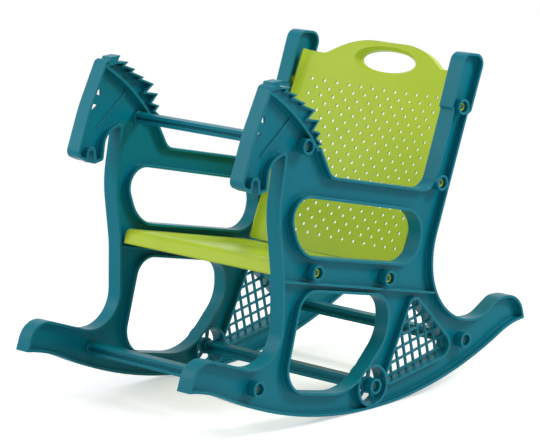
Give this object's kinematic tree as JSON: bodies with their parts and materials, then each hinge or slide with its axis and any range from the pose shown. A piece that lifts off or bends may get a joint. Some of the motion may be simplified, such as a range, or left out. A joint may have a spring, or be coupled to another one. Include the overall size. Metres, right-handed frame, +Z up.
{
  "type": "baby rocking chair",
  "caption": "Toddler's plastic rocking chair: horse-shaped side frames on curved rockers, joined by a dished seat, a perforated backrest with a hand slot, a handle bar and cross bars.",
  "frame": {"origin": "on the floor, under the middle of the chair's length and width", "axes": "+Z up, -Y the way the seated child faces, +X the child's left"},
  "size_m": [0.314, 0.599, 0.4245],
  "materials": {
    "teal_plastic": "satin moulded polypropylene",
    "lime_plastic": "semi-gloss moulded polypropylene",
    "screw_steel": "dark phosphate"
  },
  "bodies": {
    "root": {"left_side_frame": "teal_plastic", "right_side_frame": "teal_plastic", "handle_bar": "teal_plastic", "front_bar": "teal_plastic", "middle_bar": "teal_plastic", "rear_bar": "teal_plastic", "seat": "lime_plastic", "backrest": "lime_plastic", "seat_screws": "screw_steel", "backrest_screws": "screw_steel", "handle_bar_screws": "screw_steel", "front_bar_screws": "screw_steel", "middle_bar_screws": "screw_steel", "rear_bar_screws": "screw_steel"}
  },
  "joints": []
}
